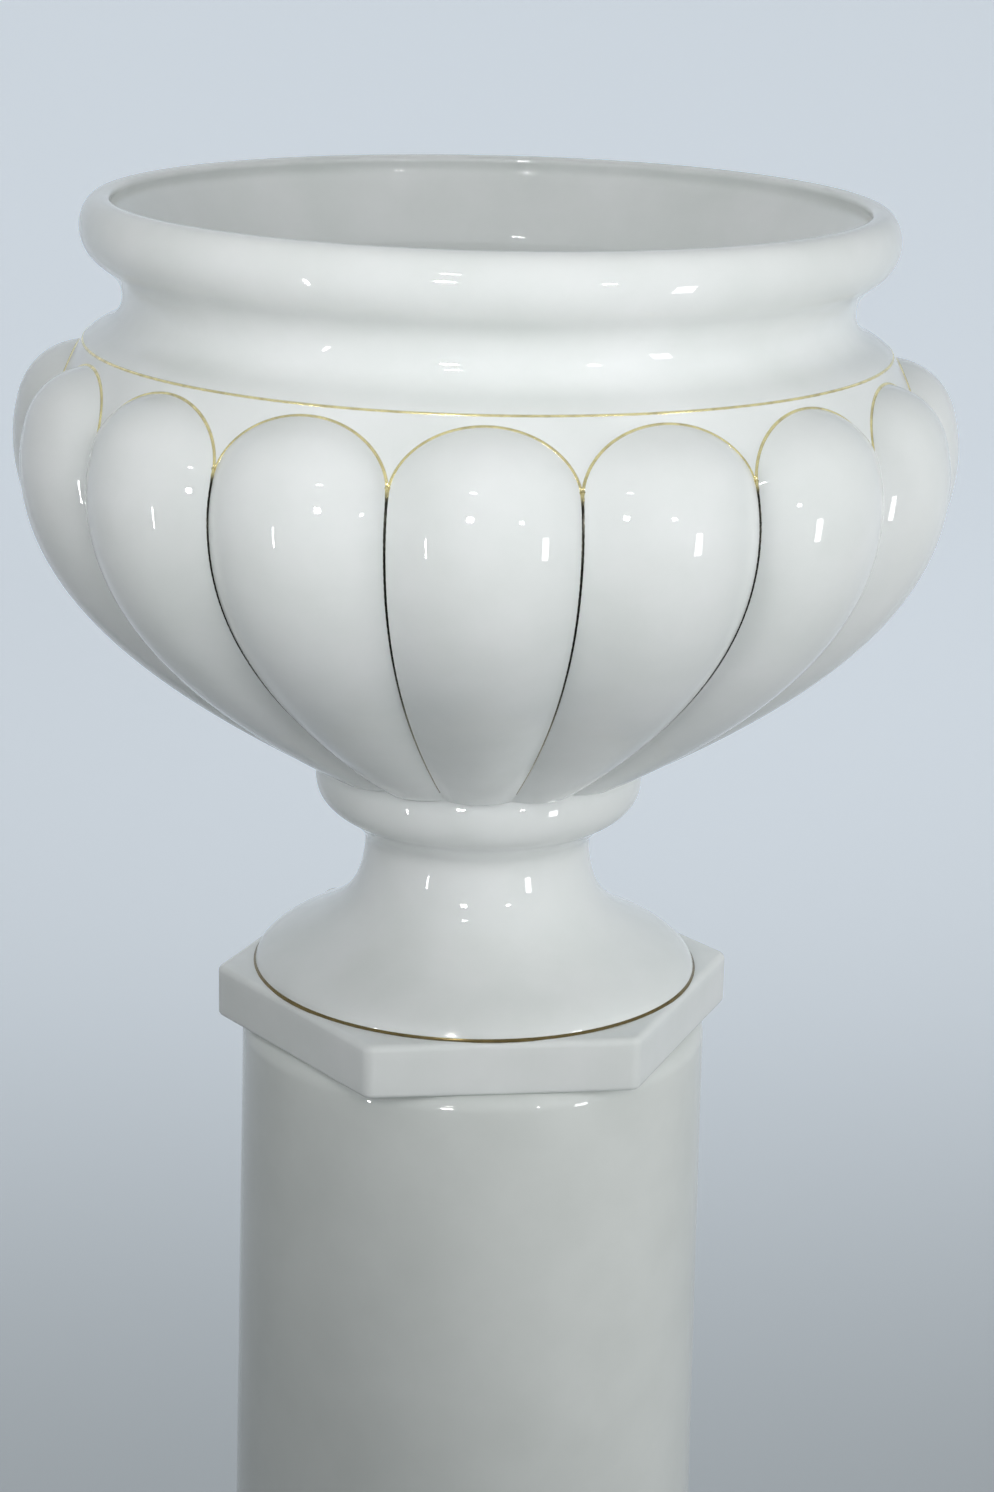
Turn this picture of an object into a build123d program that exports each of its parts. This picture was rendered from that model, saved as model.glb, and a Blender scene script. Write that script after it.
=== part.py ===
from build123d import *
from math import asin, atan2, cos, degrees, hypot, pi, radians, sin, sqrt, tan
import os

# Jardiniere on stand: a lobed, glazed ceramic urn that lifts off a hollow round column.
# Millimetres, +Z up. Origin on the floor, at the centre of the stand's base.
# A lobe of the bowl faces the front, which is -Y.

# ---- Stand -------------------------------------------------------------------------
BASE_THICKNESS = 34.0         # six-sided base slab
BASE_MARGIN = 10.8            # from the column's bead out to the slab's flats
BASE_LEDGE = 12.2             # from the column's hollow in to the slab's opening
COLUMN_HEIGHT = 557.0
COLUMN_MARGIN = 4.2           # from the urn plinth's flats out to the column's side
COLUMN_TAPER = 8.0            # the column's foot is wider than its top, on the radius
COLUMN_SHOULDER_RADIUS = 8.0  # rounding between the column's side and its top
COLUMN_WALL = 9.0
COLUMN_TOP_THICKNESS = 11.0
BEAD_HEIGHT = 16.0            # half-round bead at the column's foot
BEAD_REACH = 6.0
SPIGOT_HEIGHT = 10.0          # ring on the column's top that centres the urn
SPIGOT_WALL = 8.0
SPIGOT_CLEARANCE = 4.0        # radial play between the ring and the urn's plinth

# ---- Urn: plinth and foot ------------------------------------------------------------
PLINTH_FLATS = 226.0          # six-sided slab, across flats
PLINTH_THICKNESS = 27.0
PLINTH_RIM = 15.0             # from the slab's flats in to its opening
PLINTH_TURN = 7.5             # degrees, so that one corner lines up with a lobe
SLAB_CORNER = 5.0             # rounding of the slabs' upright corners
SLAB_TOP_EDGE = 2.0
SLAB_BOTTOM_EDGE = 1.5
FOOT_HEIGHT = 109.0
FOOT_MARGIN = 2.2             # from the slab's flats in to the foot
FOOT_WALL = 9.0
WAIST_RADIUS = 55.6
CREASE_STEP = 4.9             # the crease under the collar is wider than the waist
COLLAR_HEIGHT = 35.0
COLLAR_REACH = 1.0            # the collar swells this far beyond the bowl's seat

# ---- Urn: bowl -------------------------------------------------------------------------
LOBES = 16
BOWL_DEPTH = 206.0            # from the seat on the foot up to the shoulder line
SEAT_RADIUS = 80.0            # where the valleys between the lobes reach the seat
SHOULDER_RADIUS = 192.0
SHOULDER_STEP = 0.3           # the neck stands this far inside the shoulder line
BELLY_SWELL = 20.2            # the valleys' widest radius, beyond the shoulder's
BELLY_DROP = 53.0             # the widest level, below the shoulder line
BELLY_POWER = 0.95            # evens out the curve from the belly down to the seat
NECK_INSET = 18.6             # the neck's narrowest radius, inside the shoulder's
NECK_RISE = 20.0
RIM_REACH = 19.4              # the rim's widest radius, beyond the neck's
RIM_RISE = 52.5               # the rim's widest level, above the shoulder line
RIM_CROWN = 14.5              # from that level up to the rim's top
RIM_CROWN_INSET = 9.8         # from the widest radius in to the crown
RIM_LIP = 7.0                 # from the crown in to the mouth
BOWL_WALL = 10.0
FLOOR_THICKNESS = 13.0

# ---- Urn: lobes ------------------------------------------------------------------------
LOBE_RISE = 17.4              # height of a lobe's crown over the valleys, at its top
LOBE_FADE = 0.84              # share of that height lost on the way down
LOBE_FADE_POWER = 1.31
LOBE_EDGE_ANGLE = 50.0        # degrees, slope of a lobe's flank at its edge
ARCH_GAP = 5.0                # from the shoulder line to the top of each arch
ARCH_HEIGHT = 30.0            # from there to the point where two arches meet
LOBE_CUTS = 10                # upright sections across a lobe, less one
CROWN_RUNS = 14               # runs of each section's curve over the lobe
STRIP_RUNS = 4                # and over the plain strip above it

# ---- Gilding -----------------------------------------------------------------------------
GILT_RADIUS = 0.7
GILT_CLEARANCE = 0.15
GILT_JOIN = 0.97              # an arch line stops at this share of its half width
GILT_BREAK = 1.7              # between the arch lines' ends and the valley lines
GILT_FADE_OUT = 14.0          # the valley lines end this far above the seat
ARCH_RUNS = 26
VALLEY_RUNS = 18

# ---- Radii and levels worked out from the sizes above -----------------------------------
PLINTH_OPENING_RADIUS = PLINTH_FLATS / 2 - PLINTH_RIM
FOOT_RADIUS = PLINTH_FLATS / 2 - FOOT_MARGIN
COLUMN_TOP_RADIUS = PLINTH_FLATS / 2 + COLUMN_MARGIN
COLUMN_FOOT_RADIUS = COLUMN_TOP_RADIUS + COLUMN_TAPER
BASE_FLATS = 2 * (COLUMN_FOOT_RADIUS + BEAD_REACH + BASE_MARGIN)
BASE_OPENING_RADIUS = COLUMN_FOOT_RADIUS - COLUMN_WALL - BASE_LEDGE
COLLAR_RADIUS = SEAT_RADIUS + COLLAR_REACH
CREASE_RADIUS = WAIST_RADIUS + CREASE_STEP
BELLY_RADIUS = SHOULDER_RADIUS + BELLY_SWELL
NECK_RADIUS = SHOULDER_RADIUS - NECK_INSET
RIM_RADIUS = NECK_RADIUS + RIM_REACH
RIM_CROWN_RADIUS = RIM_RADIUS - RIM_CROWN_INSET
MOUTH_RADIUS = RIM_CROWN_RADIUS - RIM_LIP
STAND_TOP = BASE_THICKNESS + COLUMN_HEIGHT
PLINTH_TOP = STAND_TOP + PLINTH_THICKNESS
SEAT_LEVEL = PLINTH_TOP + FOOT_HEIGHT
CREASE_LEVEL = SEAT_LEVEL - COLLAR_HEIGHT
SHOULDER_LEVEL = SEAT_LEVEL + BOWL_DEPTH
BELLY_LEVEL = SHOULDER_LEVEL - BELLY_DROP
NECK_LEVEL = SHOULDER_LEVEL + NECK_RISE
RIM_LEVEL = SHOULDER_LEVEL + RIM_RISE
FLOOR_LEVEL = SEAT_LEVEL + FLOOR_THICKNESS
CORE_RADIUS = 0.6 * SEAT_RADIUS    # solid core that ties the lobes together
SECTOR_RADIUS = 0.5 * SEAT_RADIUS  # each lobe's sector runs this far into the core
HALF_LOBE = pi / LOBES

# A lobe's cross-section is an arc of a circle that meets the valley at the edge angle.
ARC_RADIUS = 1 / sin(radians(LOBE_EDGE_ANGLE))
ARC_CENTRE = ARC_RADIUS * cos(radians(LOBE_EDGE_ANGLE))


# ---- Outlines in the (radius, height) plane ----------------------------------------------
def mix(a, b, share):
    return a + (b - a) * share


def line(start, end):
    return Edge.make_line((start[0], 0, start[1]), (end[0], 0, end[1]))


def lines(*points):
    return [line(a, b) for a, b in zip(points, points[1:])]


def curve(points):
    return Edge.make_spline([(r, 0, z) for r, z in points])


def turned(edges):
    """Solid of revolution about Z of a closed outline."""
    return revolve(Face(Wire(edges)), Axis.Z)


def inset(points, wall):
    """The same curve moved by a wall's thickness towards its right-hand side."""
    moved = []
    for i, (r, z) in enumerate(points):
        before = points[max(i - 1, 0)]
        after = points[min(i + 1, len(points) - 1)]
        dr = after[0] - before[0]
        dz = after[1] - before[1]
        size = hypot(dr, dz)
        moved.append((r + wall * dz / size, z - wall * dr / size))
    return moved


def ended_at(points, level):
    """A falling curve, ended at a level."""
    kept = [points[0]]
    for r, z in points[1:]:
        last_r, last_z = kept[-1]
        if z <= level:
            kept.append((mix(last_r, r, (last_z - level) / (last_z - z)), level))
            break
        kept.append((r, z))
    return kept


# ---- The valley line, from the shoulder down to the seat ---------------------------------
def upper_valley(steps):
    """From the shoulder down to just above the belly."""
    points = []
    for i in range(steps):
        swell = sin(pi / 2 * i / steps)
        level = SHOULDER_LEVEL - BELLY_DROP * i / steps
        points.append((mix(SHOULDER_RADIUS, BELLY_RADIUS, swell), level))
    return points


def lower_valley(steps):
    """From the belly down to the seat."""
    points = []
    for i in range(steps + 1):
        share = 1 - i / steps
        swell = sin(pi / 2 * share ** BELLY_POWER)
        level = mix(SEAT_LEVEL, BELLY_LEVEL, share)
        points.append((mix(SEAT_RADIUS, BELLY_RADIUS, swell), level))
    return points


VALLEY = upper_valley(steps=48) + lower_valley(steps=144)
LENGTHS = [0.0]
for first, second in zip(VALLEY, VALLEY[1:]):
    LENGTHS.append(LENGTHS[-1] + hypot(second[0] - first[0], second[1] - first[1]))
VALLEY_LENGTH = LENGTHS[-1]
CUSP = ARCH_GAP + ARCH_HEIGHT


def valley_at(s):
    """Point and outward normal of the valley line, s along it from the shoulder."""
    i = 0
    while i < len(LENGTHS) - 2 and LENGTHS[i + 1] < s:
        i += 1
    (r0, z0), (r1, z1) = VALLEY[i], VALLEY[i + 1]
    run = LENGTHS[i + 1] - LENGTHS[i]
    share = (s - LENGTHS[i]) / run
    return mix(r0, r1, share), mix(z0, z1, share), (z0 - z1) / run, (r1 - r0) / run


def arch_start(w):
    """Where a lobe begins along the valley line, w from 0 at its middle to 1 at its edge."""
    return CUSP - ARCH_HEIGHT * sqrt(max(0.0, 1 - w * w))


def lobe_height(s, w):
    arch = max(0.0, CUSP - s) / ARCH_HEIGHT
    q = min(1.0, w * w + arch * arch)
    fullness = (sqrt(ARC_RADIUS ** 2 - q) - ARC_CENTRE) / (ARC_RADIUS - ARC_CENTRE)
    fade = LOBE_FADE * (min(s, VALLEY_LENGTH) / VALLEY_LENGTH) ** LOBE_FADE_POWER
    return LOBE_RISE * (1 - fade) * fullness


def lobe_point(s, w):
    r, z, nr, nz = valley_at(s)
    height = lobe_height(s, w)
    return r + nr * height, z + nz * height


# ---- Bowl ----------------------------------------------------------------------------------
def lobe_section(w):
    """Outline of one lobe cut by an upright plane through the axis."""
    start = arch_start(w)
    reach = VALLEY_LENGTH + BOWL_WALL - start
    strip = [valley_at(start * i / STRIP_RUNS)[:2] for i in range(STRIP_RUNS + 1)]
    crown = [lobe_point(start + reach * (i / CROWN_RUNS) ** 1.5, w)
             for i in range(CROWN_RUNS + 1)]
    low = min(crown[-1][1], SEAT_LEVEL - BOWL_WALL)
    edges = []
    for points in (strip, crown):
        shares = [i / (len(points) - 1) for i in range(len(points))]
        edges.append(Edge.make_spline([(r, 0, z) for r, z in points], parameters=shares))
    edges += lines(crown[-1], (SECTOR_RADIUS, low), (SECTOR_RADIUS, SHOULDER_LEVEL), strip[0])
    return Rotation(0, 0, degrees(w * HALF_LOBE)) * Wire(edges)


def lobe_sector():
    shares = [sin(pi / 2 * (2 * i / LOBE_CUTS - 1)) for i in range(LOBE_CUTS + 1)]
    return Solid.make_loft([lobe_section(w) for w in shares])


def lobed_body():
    step = 360 / LOBES
    sector = Rotation(0, 0, -90) * lobe_sector()
    sectors = [Rotation(0, 0, step * i) * sector for i in range(LOBES)]
    body = sectors[0].fuse(*sectors[1:])
    below = Pos(0, 0, SEAT_LEVEL) * Cylinder(
        2 * BELLY_RADIUS, BOWL_DEPTH, align=(Align.CENTER, Align.CENTER, Align.MAX))
    return body - below


def neck_outline():
    neck = [(0.89, 0.09), (0.62, 0.25), (0.27, 0.45), (0.065, 0.70), (0.0, 1.0)]
    bead = [(0.09, 0.23), (0.37, 0.425), (0.73, 0.60), (0.94, 0.80), (1.0, 1.0)]
    foot = SHOULDER_RADIUS - SHOULDER_STEP
    points = [(foot, SHOULDER_LEVEL)]
    points += [(mix(NECK_RADIUS, foot, a), mix(SHOULDER_LEVEL, NECK_LEVEL, b)) for a, b in neck]
    points += [(mix(NECK_RADIUS, RIM_RADIUS, a), mix(NECK_LEVEL, RIM_LEVEL, b)) for a, b in bead]
    return points


def quarter(centre, reach, rise, steps=4):
    """Points of a quarter ellipse from its side to its top, without the first one."""
    angles = [pi / 2 * i / steps for i in range(1, steps + 1)]
    return [(centre[0] + reach * cos(a), centre[1] + rise * sin(a)) for a in angles]


def rim_outline():
    """The rolled rim, from its widest level over the crown to the mouth."""
    centre = (RIM_CROWN_RADIUS, RIM_LEVEL)
    outer = quarter(centre, RIM_RADIUS - RIM_CROWN_RADIUS, RIM_CROWN)
    inner = quarter(centre, MOUTH_RADIUS - RIM_CROWN_RADIUS, RIM_CROWN)
    return outer + inner[-2::-1] + [(MOUTH_RADIUS, RIM_LEVEL)]


def cavity_outline():
    """Inside of the bowl, from the mouth down to the floor."""
    inner_neck = NECK_RADIUS - BOWL_WALL
    inner_belly = BELLY_RADIUS - BOWL_WALL
    throat = [(0.81, 0.78), (0.40, 0.48), (0.10, 0.23), (0.0, 0.0)]
    flare = [(0.037, 0.10), (0.16, 0.21), (0.375, 0.33), (0.64, 0.51), (0.87, 0.73)]
    points = [(mix(inner_neck, MOUTH_RADIUS, a), mix(NECK_LEVEL, RIM_LEVEL, b))
              for a, b in throat]
    points += [(mix(inner_neck, inner_belly, a), mix(NECK_LEVEL, BELLY_LEVEL, b))
               for a, b in flare]
    return ended_at(points + inset(lower_valley(steps=12), BOWL_WALL), FLOOR_LEVEL)


def make_bowl():
    outside = neck_outline()
    rim = rim_outline()
    cavity = [rim[-1]] + cavity_outline()
    mouth = (0, rim[-1][1])
    neck = turned([curve(outside), curve([outside[-1]] + rim)]
                  + lines(rim[-1], mouth, (0, SHOULDER_LEVEL), outside[0]))
    core = turned(lines((0, SEAT_LEVEL), (CORE_RADIUS, SEAT_LEVEL),
                        (CORE_RADIUS, BELLY_LEVEL), (0, BELLY_LEVEL), (0, SEAT_LEVEL)))
    hollow = turned([curve(cavity)] + lines(cavity[-1], (0, FLOOR_LEVEL), mouth, cavity[0]))
    return lobed_body().fuse(neck, core) - hollow


# ---- Foot ----------------------------------------------------------------------------------
def collar_points():
    """The collar's outside, from the seat down to the crease above the stem."""
    shape = [(0.93, 1.0), (1.0, 0.77), (0.93, 0.51), (0.60, 0.22), (0.0, 0.0)]
    return [(mix(CREASE_RADIUS, COLLAR_RADIUS, a), mix(CREASE_LEVEL, SEAT_LEVEL, b))
            for a, b in shape]


def stem_points():
    """From the crease over the waist and down the domed foot."""
    shape = [(0.0, 0.82), (0.025, 0.69), (0.10, 0.54), (0.225, 0.42), (0.42, 0.31),
             (0.66, 0.21), (0.87, 0.125), (0.97, 0.055), (1.0, 0.0)]
    points = [(mix(WAIST_RADIUS, FOOT_RADIUS, a), mix(PLINTH_TOP, CREASE_LEVEL, b))
              for a, b in shape]
    return [(CREASE_RADIUS, CREASE_LEVEL)] + points


def make_foot():
    collar = collar_points()
    stem = stem_points()
    inside = inset(collar[1:] + stem[1:], FOOT_WALL)
    inside = ended_at([(inside[0][0], SEAT_LEVEL)] + inside, PLINTH_TOP)
    return turned([curve(collar), curve(stem), line(stem[-1], inside[-1]),
                   curve(inside), line(inside[0], collar[0])])


# ---- Six-sided slabs -------------------------------------------------------------------------
def make_slab(flats, thickness, opening, level):
    outline = RegularPolygon(flats / 2, 6, major_radius=False)
    outline = fillet(outline.vertices(), SLAB_CORNER)
    slab = extrude(outline, thickness)
    slab = fillet(slab.faces().sort_by(Axis.Z)[-1].edges(), SLAB_TOP_EDGE)
    slab = fillet(slab.faces().sort_by(Axis.Z)[0].edges(), SLAB_BOTTOM_EDGE)
    hole = Cylinder(opening, 3 * thickness)
    return Pos(0, 0, level) * Rotation(0, 0, PLINTH_TURN) * (slab - hole)


# ---- Column ----------------------------------------------------------------------------------
def side_radius(level):
    """Radius of the tapering side at a level above the base slab."""
    return mix(COLUMN_FOOT_RADIUS, COLUMN_TOP_RADIUS, (level - BASE_THICKNESS) / COLUMN_HEIGHT)


def make_column():
    bead_top = BASE_THICKNESS + BEAD_HEIGHT
    bead_side = (side_radius(BASE_THICKNESS) + BEAD_REACH, BASE_THICKNESS + BEAD_HEIGHT / 2)
    foot = (side_radius(BASE_THICKNESS), BASE_THICKNESS)
    edge = (side_radius(bead_top), bead_top)
    shoulder = (side_radius(STAND_TOP - COLUMN_SHOULDER_RADIUS),
                STAND_TOP - COLUMN_SHOULDER_RADIUS)
    rounding = quarter((shoulder[0] - COLUMN_SHOULDER_RADIUS, shoulder[1]),
                       COLUMN_SHOULDER_RADIUS, COLUMN_SHOULDER_RADIUS)
    bead = Edge.make_three_point_arc(*[(r, 0, z) for r, z in (foot, bead_side, edge)])
    arc = Edge.make_three_point_arc(*[(r, 0, z) for r, z in (shoulder, rounding[1], rounding[3])])
    ceiling = STAND_TOP - COLUMN_TOP_THICKNESS
    spigot = PLINTH_OPENING_RADIUS - SPIGOT_CLEARANCE
    spigot_top = STAND_TOP + SPIGOT_HEIGHT
    return turned([bead, line(edge, shoulder), arc] + lines(
        rounding[3], (spigot, STAND_TOP), (spigot, spigot_top),
        (spigot - SPIGOT_WALL, spigot_top), (spigot - SPIGOT_WALL, STAND_TOP),
        (0, STAND_TOP), (0, ceiling), (side_radius(ceiling) - COLUMN_WALL, ceiling),
        (foot[0] - COLUMN_WALL, BASE_THICKNESS), foot))


# ---- Gilding ---------------------------------------------------------------------------------
def wire_along(points):
    """Round wire of the gilt line's thickness along straight runs."""
    path = Polyline(*points)
    section = Plane(path @ 0, z_dir=path % 0) * Circle(GILT_RADIUS)
    return sweep(section, path, transition=Transition.RIGHT)


def around(r, z, angle):
    """A point at an angle from the front."""
    return Vector(r * sin(angle), -r * cos(angle), z)


def flank_slope(s, reach):
    """Slope of a lobe's flank at its edge, reach being the lobe's half width there."""
    crown = LOBE_RISE * (1 - LOBE_FADE * (s / VALLEY_LENGTH) ** LOBE_FADE_POWER)
    return atan2(crown, sqrt(ARC_RADIUS ** 2 - 1) * (ARC_RADIUS - ARC_CENTRE) * reach)


def arch_line():
    """Along the crease at the top of the front lobe."""
    lift = GILT_RADIUS + GILT_CLEARANCE
    points = []
    for i in range(ARCH_RUNS + 1):
        w = sin(asin(GILT_JOIN) * (2 * i / ARCH_RUNS - 1))
        s = arch_start(w)
        r, z, nr, nz = valley_at(s)
        aside = w / (r * HALF_LOBE)
        above = sqrt(1 - w * w) / ARCH_HEIGHT
        size = hypot(aside, above)
        away = lift * tan(flank_slope(s, 1 / size) / 2)
        r, z, nr, nz = valley_at(s - away * above / size)
        angle = w * HALF_LOBE + away * aside / size / r
        points.append(around(r + nr * lift, z + nz * lift, angle))
    return wire_along(points)


def valley_line():
    """Down the crease between the front lobe and the next one."""
    start = arch_start(GILT_JOIN) + GILT_BREAK
    end = VALLEY_LENGTH - GILT_FADE_OUT
    points = []
    for i in range(VALLEY_RUNS + 1):
        s = mix(start, end, i / VALLEY_RUNS)
        r, z, nr, nz = valley_at(s)
        opening = flank_slope(max(s, CUSP), r * HALF_LOBE) + HALF_LOBE
        lift = GILT_RADIUS / cos(opening) + GILT_CLEARANCE
        points.append(around(r + nr * lift, z + nz * lift, HALF_LOBE))
    return wire_along(points)


def make_lobe_gilding():
    pair = [arch_line(), valley_line()]
    step = 360 / LOBES
    return Compound([Rotation(0, 0, step * i) * piece for i in range(LOBES) for piece in pair])


def make_shoulder_gilding():
    r, z, nr, nz = valley_at(0)
    lift = GILT_RADIUS + GILT_CLEARANCE
    bend = atan2(nz, nr) / 2
    reach = lift / cos(bend)
    return Pos(0, 0, z + reach * sin(bend)) * Torus(r + reach * cos(bend), GILT_RADIUS)


def make_foot_gilding():
    lift = GILT_RADIUS + GILT_CLEARANCE
    return Pos(0, 0, PLINTH_TOP + lift) * Torus(FOOT_RADIUS + lift, GILT_RADIUS)


# ---- Parts -----------------------------------------------------------------------------------
def build_parts():
    return {
        "stand_plinth": make_slab(BASE_FLATS, BASE_THICKNESS, BASE_OPENING_RADIUS, 0),
        "column": make_column(),
        "urn_plinth": make_slab(
            PLINTH_FLATS, PLINTH_THICKNESS, PLINTH_OPENING_RADIUS, STAND_TOP),
        "urn_foot": make_foot(),
        "bowl": make_bowl(),
        "shoulder_gold_line": make_shoulder_gilding(),
        "lobe_gold_lines": make_lobe_gilding(),
        "foot_gold_line": make_foot_gilding(),
    }


os.makedirs("parts", exist_ok=True)
for name, part in build_parts().items():
    part.label = name
    export_step(part, f"parts/{name}.step")
    print(name, len(part.solids()), "solids", round(part.volume), "mm3")
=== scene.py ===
from math import asin, cos, hypot, pi, radians, sin, sqrt

import bmesh
import bpy
import numpy as np
from mathutils import Matrix, Vector, noise


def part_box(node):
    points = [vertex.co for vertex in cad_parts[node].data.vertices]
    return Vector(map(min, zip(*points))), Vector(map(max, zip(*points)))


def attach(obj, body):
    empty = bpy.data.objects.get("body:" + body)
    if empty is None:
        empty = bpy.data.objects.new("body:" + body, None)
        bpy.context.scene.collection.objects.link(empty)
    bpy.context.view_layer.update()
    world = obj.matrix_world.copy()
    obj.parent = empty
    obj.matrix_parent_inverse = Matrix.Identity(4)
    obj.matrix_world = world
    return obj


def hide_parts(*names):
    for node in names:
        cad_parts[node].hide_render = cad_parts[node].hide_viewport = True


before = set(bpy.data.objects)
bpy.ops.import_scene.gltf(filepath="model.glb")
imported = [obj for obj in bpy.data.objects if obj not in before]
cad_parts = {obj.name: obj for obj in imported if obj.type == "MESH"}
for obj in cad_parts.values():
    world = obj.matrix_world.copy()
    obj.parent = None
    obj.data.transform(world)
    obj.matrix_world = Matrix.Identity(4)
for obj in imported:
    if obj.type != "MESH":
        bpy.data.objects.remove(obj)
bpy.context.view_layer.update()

MM = 0.001

# ---- Levels and radii taken from the frame -------------------------------------------------------
STAND_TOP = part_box("urn_plinth")[0][2]
PLINTH_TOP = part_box("urn_foot")[0][2]
SEAT_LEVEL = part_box("bowl")[0][2]
BASE_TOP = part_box("stand_plinth")[1][2]
FOOT_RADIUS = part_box("urn_foot")[1][0]

# ---- Bowl ----------------------------------------------------------------------------------------
LOBES = 16
BOWL_DEPTH = 206.0 * MM
SEAT_RADIUS = 80.0 * MM
BELLY_RADIUS = 212.2 * MM
BELLY_DROP = 53.0 * MM
BELLY_POWER = 0.95
SHOULDER_RADIUS = 192.0 * MM
NECK_RADIUS = 173.4 * MM
NECK_RISE = 20.0 * MM
RIM_RADIUS = 192.8 * MM
RIM_RISE = 52.5 * MM
RIM_CROWN = 14.5 * MM
RIM_CROWN_RADIUS = 183.0 * MM
MOUTH_RADIUS = 177.8 * MM
MOUTH_DROP = 2.6 * MM         # from the rim's crown down to its inner edge
THROAT_RISE = 3.0 * MM        # the narrowest ring inside lies this far above the neck's groove
BOWL_WALL = 10.0 * MM
FLOOR_THICKNESS = 13.0 * MM

# ---- Lobes ---------------------------------------------------------------------------------------
LOBE_RISE = 17.4 * MM
LOBE_FADE = 0.84
LOBE_FADE_POWER = 1.31
LOBE_EDGE_ANGLE = radians(50)
ARCH_GAP = 5.0 * MM
ARCH_HEIGHT = 32.0 * MM
CREASE_FILL = 0.45 * MM       # glaze that has run into the creases

# ---- Foot, plinth, column ------------------------------------------------------------------------
FOOT_WALL = 9.0 * MM
WAIST_RADIUS = 56.2 * MM
COLLAR_HEIGHT = 33.5 * MM
COLLAR_RADIUS = 81.0 * MM
COLLAR_NECK_RADIUS = 60.5 * MM
PLINTH_FLATS = 226.0 * MM
PLINTH_OPENING_RADIUS = 98.0 * MM
PLINTH_TURN = radians(7.5)
SLAB_CORNER = 7.0 * MM
SLAB_TOP_EDGE = 3.4 * MM
SLAB_BOTTOM_EDGE = 2.6 * MM
BASE_FLATS = 284.0 * MM
BASE_OPENING_RADIUS = 104.0 * MM
COLUMN_TOP_RADIUS = 117.2 * MM
COLUMN_FOOT_RADIUS = 125.2 * MM
COLUMN_SHOULDER_RADIUS = 8.0 * MM
COLUMN_WALL = 9.0 * MM
COLUMN_TOP_THICKNESS = 11.0 * MM
BEAD_HEIGHT = 16.0 * MM
BEAD_REACH = 6.0 * MM
SPIGOT_HEIGHT = 10.0 * MM
SPIGOT_WALL = 8.0 * MM
SPIGOT_CLEARANCE = 4.0 * MM

# ---- Gilding -------------------------------------------------------------------------------------
GILT_WIDTH = 1.35 * MM
GILT_HEIGHT = 0.12 * MM       # how far the gold stands on the glaze
GILT_DEPTH = 0.25 * MM        # and how far its underside lies in it
GILT_MEETING = 0.992          # how far out towards its edge each lobe's arch is painted
GILT_POOL = 7.0 * MM          # how far the gold has pooled below each cusp,
GILT_POOL_SWELL = 0.9         # and how much wider it is there, in shares of the width
CREASE_START_WIDTH = 1.05     # the crease line's own width at its top,
CREASE_END_WIDTH = 0.4        # at its end,
CREASE_TAPER = 0.9            # and how evenly it narrows between them
CREASE_FADE_OUT = 14.0 * MM   # it ends this far above the seat
FOOT_GILT_WIDTH = 1.4         # the foot's line, in shares of the width

# ---- Hand-made irregularity ----------------------------------------------------------------------
WOBBLE = 0.22 * MM            # how far a surface is drawn in at most,
WOBBLE_SIZE = 55.0 * MM       # over hollows of about this size,
BOWL_SEED = 1                 # each casting in its own way
COLUMN_SEED = 3
FOOT_SEED = 7
PLINTH_SEED = 11
BASE_SEED = 17

# ---- Mesh fineness -------------------------------------------------------------------------------
LOBE_COLUMNS = 28
LOBE_ROWS = 60
LOBE_ROW_SPREAD = 1.7         # rows lie closer at the top of a lobe the larger this is
STRIP_ROWS = 6
NECK_ROWS = 60
THROAT_ROWS = 30
INSIDE_ROWS = 44
FLOOR_ROWS = 4
FLOOR_MIDDLE = 20.0 * MM      # radius of the innermost ring of the bowl's floor
SEAT_RINGS = (70.0 * MM, 30.0 * MM)
FOOT_ROWS = 100
FOOT_INSIDE_ROWS = 44
SIDE_STEPS = 6                # along a side of a slab,
CORNER_STEPS = 8              # round its corner
EDGE_STEPS = 5                # and over its edge
COLUMN_ROWS = 60
BEAD_STEPS = 12
AXIS_GAP = 1.0 * MM           # a turned profile stops this short of the axis
ROUND_COLUMNS = 192
UPPER_VALLEY_STEPS = 80
LOWER_VALLEY_STEPS = 240
HALVINGS = 24                 # of the span in which the lobes' end at the seat is looked for
BAND_START_ROWS = 240         # of the neck's outline, of which the first gives the band's slope
ARCH_STEPS = 48
CREASE_STEPS = 60

SHOULDER_LEVEL = SEAT_LEVEL + BOWL_DEPTH
BELLY_LEVEL = SHOULDER_LEVEL - BELLY_DROP
NECK_LEVEL = SHOULDER_LEVEL + NECK_RISE
RIM_LEVEL = SHOULDER_LEVEL + RIM_RISE
FLOOR_LEVEL = SEAT_LEVEL + FLOOR_THICKNESS
HALF_LOBE = pi / LOBES
ARC_RADIUS = 1 / sin(LOBE_EDGE_ANGLE)
ARC_CENTRE = ARC_RADIUS * cos(LOBE_EDGE_ANGLE)


# ---- Helpers -------------------------------------------------------------------------------------
def mix(a, b, share):
    """What lies a share of the way from a to b."""
    return a + (b - a) * share


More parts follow.
